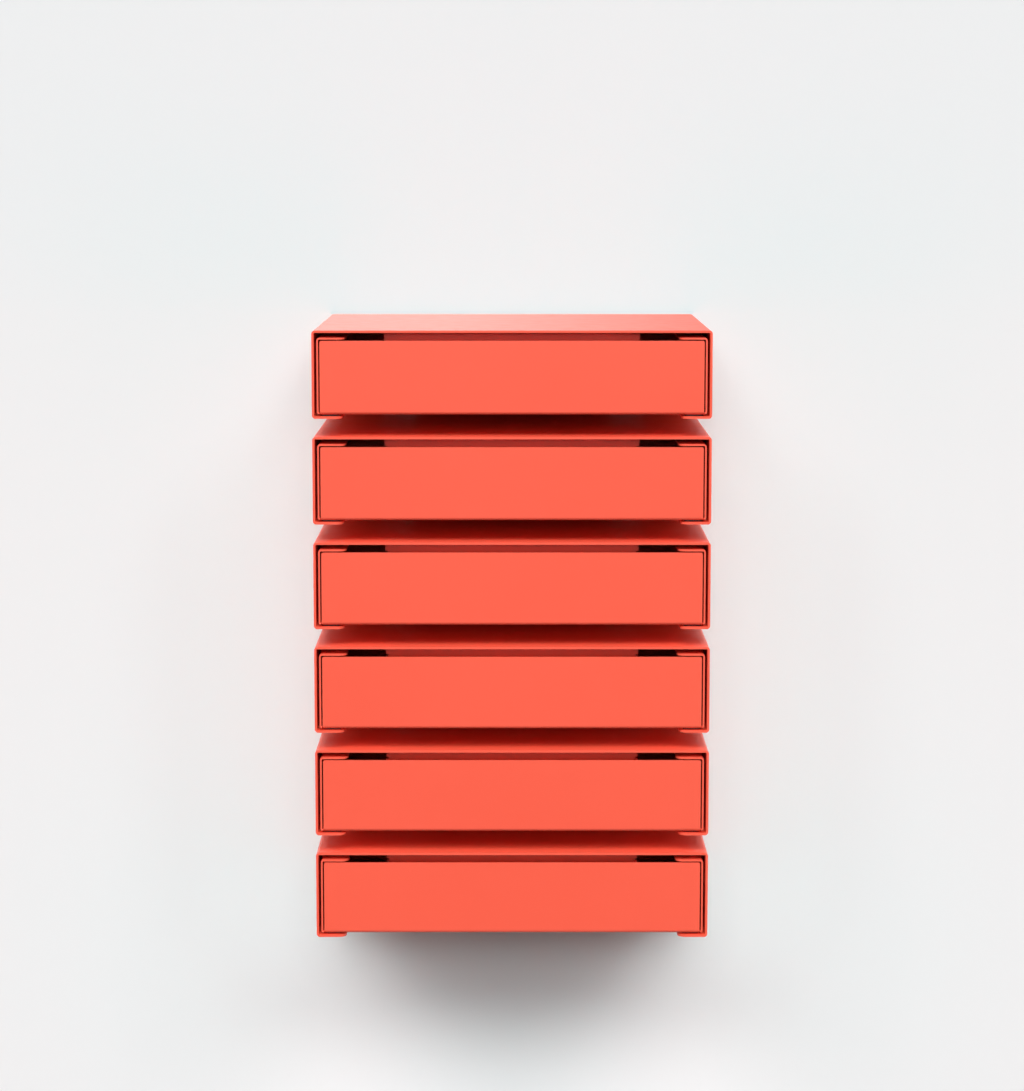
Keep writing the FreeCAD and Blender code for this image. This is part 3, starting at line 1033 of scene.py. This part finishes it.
cut_out(plate, [add_rod("drill", (x, rivet_row, plate_low.z - past),
                        (0, 0, plate_gauge + 2 * past), rivet_hole / 2) for x in rivet_places])
finish_piece(plate, powder_coat, "pull_plate_1")
install_in_every_module(plate, "pull_plate_sheet", "pull_plate_", "drawer_")

# %% [markdown]
# ## Black nylon
#
# Six pads carry and guide each drawer. They are moulded in black nylon, whose mould was etched to a
# fine matt grain. Where the pads slide, the grain is polished a little. Here the grain goes into
# bump, and the roughness drifts by a noise over the whole pad.

# %% Mix the black nylon
black_nylon = mottled("black moulded nylon", tone_noise=(140, 3),
                      tones=((0.018, 0.018, 0.020), (0.026, 0.026, 0.028)),
                      gloss_noise=(260, 2), roughness=(0.42, 0.54),
                      layers=[(2600, 0.006 * mm), (700, 0.004 * mm)])[0]

# %% [markdown]
# ## Glides and tip guards
#
# The three kinds of pad differ in height and in which way the stem points. All
# are square plates with round corners and a round stem that snaps into a hole
# in the sheet. The stem's end shows on the far side of the sheet, so it gets
# the small dimple that the mould leaves there. The rim of the sliding face is
# bevelled wide, so that the drawer doesn't catch on it.

# %% Model a pair of pads
pad_corner = 2.5 * mm
pad_lead = 0.5 * mm                 # rounding round the sliding face
stem_radius = 2.5 * mm
dimple_radius = 0.8 * mm
dimple_depth = 0.4 * mm
pad_softening = 0.15 * mm
glide_thickness = 1.7 * mm
guard_thickness = 3.8 * mm


def pad_pair(node, thickness, stem_side):
    """Left and right pad of a node, with the stems up (1) or down (-1)."""
    low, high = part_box(node)
    sliding, tip = (low.z, high.z) if stem_side > 0 else (high.z, low.z)
    root = sliding + stem_side * thickness
    pads = []
    for side in (-1, 1):
        inner, outer = side * (2 * pad_side - high.x), side * high.x
        pad = add_block(node + "_pad", (min(inner, outer), low.y, min(sliding, root)),
                        (max(inner, outer), high.y, max(sliding, root)))
        edit(pad)
        round_off("EDGE", lambda middle, run: abs(run.z) > most, pad_corner)
        round_off("EDGE", lambda middle, run: near(middle.z, sliding), pad_lead, steps=3)
        leave_edit()
        axis = (side * pad_side, (low.y + high.y) / 2)
        embedded = root - stem_side * thickness / 2
        stem = add_rod("stem", (*axis, embedded), (0, 0, tip - embedded), stem_radius)
        finish_modifier(pad, "BOOLEAN", operation="UNION", solver="EXACT", object=stem)
        bpy.data.objects.remove(stem)
        cut_out(pad, [add_rod("dimple", (*axis, tip - stem_side * dimple_depth),
                              (0, 0, stem_side * (dimple_depth + past)), dimple_radius,
                              sides=16)])
        pads.append(pad)
    pair = joined(pads)
    finish_piece(pair, black_nylon, node, pad_softening)
    return pair


for node_stem, piece_name, body, thickness, stem_side in (
        ("housing_glides_", "housing_glide_pair", "wall_frame", glide_thickness, -1),
        ("drawer_glides_", "drawer_glide_pair", "drawer_", glide_thickness, 1),
        ("tip_guards_", "tip_guard_pair", "drawer_", guard_thickness, -1)):
    install_in_every_module(pad_pair(node_stem + "1", thickness, stem_side),
                            piece_name, node_stem, body)

# %% [markdown]
# ## Rubber bumpers
#
# The closed drawer stops against two small discs of black rubber. Rubber is
# matt and slightly dusty, so its tone is mottled and its gloss is low. Each
# disc starts as a cylinder; its rim is rounded, and its face is inset and
# pushed in a little, like a cup.

# %% Mix the rubber and model the bumpers
black_rubber = mottled("matt black rubber", tone_noise=(500, 4),
                       tones=((0.020, 0.020, 0.020), (0.034, 0.033, 0.032)),
                       gloss_noise=(300, 2), roughness=(0.70, 0.86),
                       layers=[(1500, 0.01 * mm)])[0]

bumper_rim = 0.8 * mm               # rounding
bumper_ring = 1.0 * mm              # flat ring inside the rim
bumper_slope, bumper_cup = 0.5 * mm, 0.4 * mm
bumper_softening = 0.1 * mm
bumper_low, bumper_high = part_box("back_bumpers_1")
bumper_radius = (bumper_high.z - bumper_low.z) / 2
bumpers = []
for side in (-1, 1):
    seat = (side * (bumper_high.x - bumper_radius), bumper_high.y,
            (bumper_low.z + bumper_high.z) / 2)
    disc = add_rod("bumper", seat, (0, bumper_low.y - bumper_high.y, 0), bumper_radius)
    edit(disc)
    round_off("EDGE", lambda middle, run: near(middle.y, bumper_low.y), bumper_rim, steps=4)
    pick("FACE", lambda middle, normal: normal.y < -square_on)
    bpy.ops.mesh.inset(thickness=bumper_ring)
    bpy.ops.mesh.inset(thickness=bumper_slope, depth=-bumper_cup)
    leave_edit()
    bumpers.append(disc)
bumper_pair = joined(bumpers)
finish_piece(bumper_pair, black_rubber, "back_bumpers_1", bumper_softening)
install_in_every_module(bumper_pair, "bumper_pair", "back_bumpers_", "wall_frame")

# %% [markdown]
# ## Zinc plate
#
# Screws, rivets and the two wall bars are plated with zinc. It is a pale metal
# with a faint cloudy pattern, and handling leaves the gloss uneven.

# %% Mix the zinc plate
zinc_plate, shader = mottled("zinc plate", tone_noise=(120, 4),
                             tones=((0.60, 0.61, 0.63), (0.70, 0.70, 0.69)),
                             gloss_noise=(90, 4), roughness=(0.26, 0.42),
                             layers=[(900, 0.003 * mm)])[:2]
shader.inputs["Metallic"].default_value = 1.0

# %% [markdown]
# ## Button head screws
#
# Four screws with low round heads hold each housing to the wall bars. The head
# starts as a cylinder on the back panel. Its rim is rounded, and from its
# underside the shank is made by an inset and an extrusion. The hexagon socket
# is cut with a six-sided rod.

# %% Model the screws
screw_head = 3.8 * mm               # radius
screw_head_height = 2.2 * mm
screw_head_round = 1.5 * mm
screw_thread = 2.0 * mm             # radius
screw_chamfer = 0.4 * mm
socket_across = 2.5 * mm            # across the flats of the hexagon
socket_depth = 1.3 * mm
plated_softening = 0.08 * mm        # of screws and rivets

screw_low, screw_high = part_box("housing_screws_1")
screw_seat = screw_low.y + screw_head_height
screws = []
for x in (-bar_spacing / 2, bar_spacing / 2):
    for level in screw_levels:
        screw = add_rod("screw", (x, screw_seat, level), (0, -screw_head_height, 0), screw_head)
        edit(screw)
        round_off("EDGE", lambda middle, run: near(middle.y, screw_low.y), screw_head_round, steps=5)
        pick("FACE", lambda middle, normal: normal.y > square_on)
        bpy.ops.mesh.inset(thickness=screw_head - screw_thread)
        pull_out(0, screw_high.y - screw_seat, 0)
        round_off("EDGE", lambda middle, run: near(middle.y, screw_high.y), screw_chamfer, steps=1)
        leave_edit()
        cut_out(screw, [add_rod("socket", (x, screw_low.y + socket_depth, level),
                                (0, -socket_depth - past, 0), socket_across / math.sqrt(3),
                                sides=6)])
        screws.append(screw)
screw_set = joined(screws)
finish_piece(screw_set, zinc_plate, "housing_screws_1", plated_softening)
install_in_every_module(screw_set, "button_screws", "housing_screws_", "wall_frame")

# %% [markdown]
# ## Rivets
#
# Three blind rivets hold the foot of the pull plate. Seen from inside the
# drawer, each is a low dome with the small hole that its pulled mandrel left;
# under the floor, the shank is spread to a flat set head.

# %% Model the rivets
rivet_head = 3.2 * mm               # radius
rivet_head_round = 1.0 * mm
rivet_shank = 1.6 * mm              # radius
rivet_set_head = 2.5 * mm           # radius
mandrel_hole = 0.9 * mm             # radius
mandrel_depth = 0.6 * mm
set_head_round = 0.25 * mm

rivet_low, rivet_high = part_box("plate_rivets_1")
foot_top = plate_low.z + plate_gauge
rivets = []
for x in rivet_places:
    rivet = add_rod("rivet", (x, rivet_row, foot_top), (0, 0, rivet_high.z - foot_top), rivet_head)
    edit(rivet)
    round_off("EDGE", lambda middle, run: near(middle.z, rivet_high.z), rivet_head_round, steps=5)
    pick("FACE", lambda middle, normal: normal.z < -square_on)
    bpy.ops.mesh.inset(thickness=rivet_head - rivet_shank)
    pull_out(0, 0, tray_low.z - foot_top)
    pull_out(0, 0, 0)
    spread_out = rivet_set_head / rivet_shank
    bpy.ops.transform.resize(value=(spread_out, spread_out, 1),
                             center_override=(x, rivet_row, tray_low.z))
    pull_out(0, 0, rivet_low.z - tray_low.z)
    round_off("EDGE", lambda middle, run: near(middle.z, rivet_low.z), set_head_round, steps=2)
    leave_edit()
    cut_out(rivet, [add_rod("mandrel", (x, rivet_row, rivet_high.z - mandrel_depth),
                            (0, 0, mandrel_depth + past), mandrel_hole, sides=20)])
    rivets.append(rivet)
rivet_set = joined(rivets)
finish_piece(rivet_set, zinc_plate, "plate_rivets_1", plated_softening)
install_in_every_module(rivet_set, "plate_rivet_row", "plate_rivets_", "drawer_")

# %% [markdown]
# ## Wall bars
#
# Two flat bars of 3 mm steel join the six housings into one unit and take the
# wall screws. Each has rounded corners, a threaded hole for each housing screw,
# and three holes for the wall that lie in gaps, where a screwdriver reaches
# them.

# %% Model the wall bars
bar_corner = 5.0 * mm
bar_thread = 2.05 * mm              # radius of the holes for the housing screws
wall_hole = 2.75 * mm               # radius
bar_softening = 0.25 * mm
gaps_with_holes = (1, 3, 5)         # below these housings

thread_levels, gap_levels = [], []
for number in range(1, module_count + 1):
    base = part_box("housing_" + str(number))[0].z
    thread_levels += [level + (base - housing_low.z) for level in screw_levels]
    if number in gaps_with_holes:
        gap_levels.append((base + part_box("housing_" + str(number + 1))[1].z) / 2)

for name in ("left", "right"):
    low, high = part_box("wall_rail_" + name)
    bar = add_block("wall_bar_" + name, low, high)
    edit(bar)
    round_off("EDGE", lambda middle, run: abs(run.y) > most, bar_corner)
    leave_edit()
    drills = []
    for radius, levels in ((bar_thread, thread_levels), (wall_hole, gap_levels)):
        for level in levels:
            drills.append(add_rod("drill", ((low.x + high.x) / 2, low.y - past, level),
                                  (0, high.y - low.y + 2 * past, 0), radius))
    cut_out(bar, drills)
    finish_piece(bar, zinc_plate, "wall_rail_" + name, bar_softening)
    install(bar, "wall_rail_" + name, "wall_frame")
    bars_only.objects.link(bar)
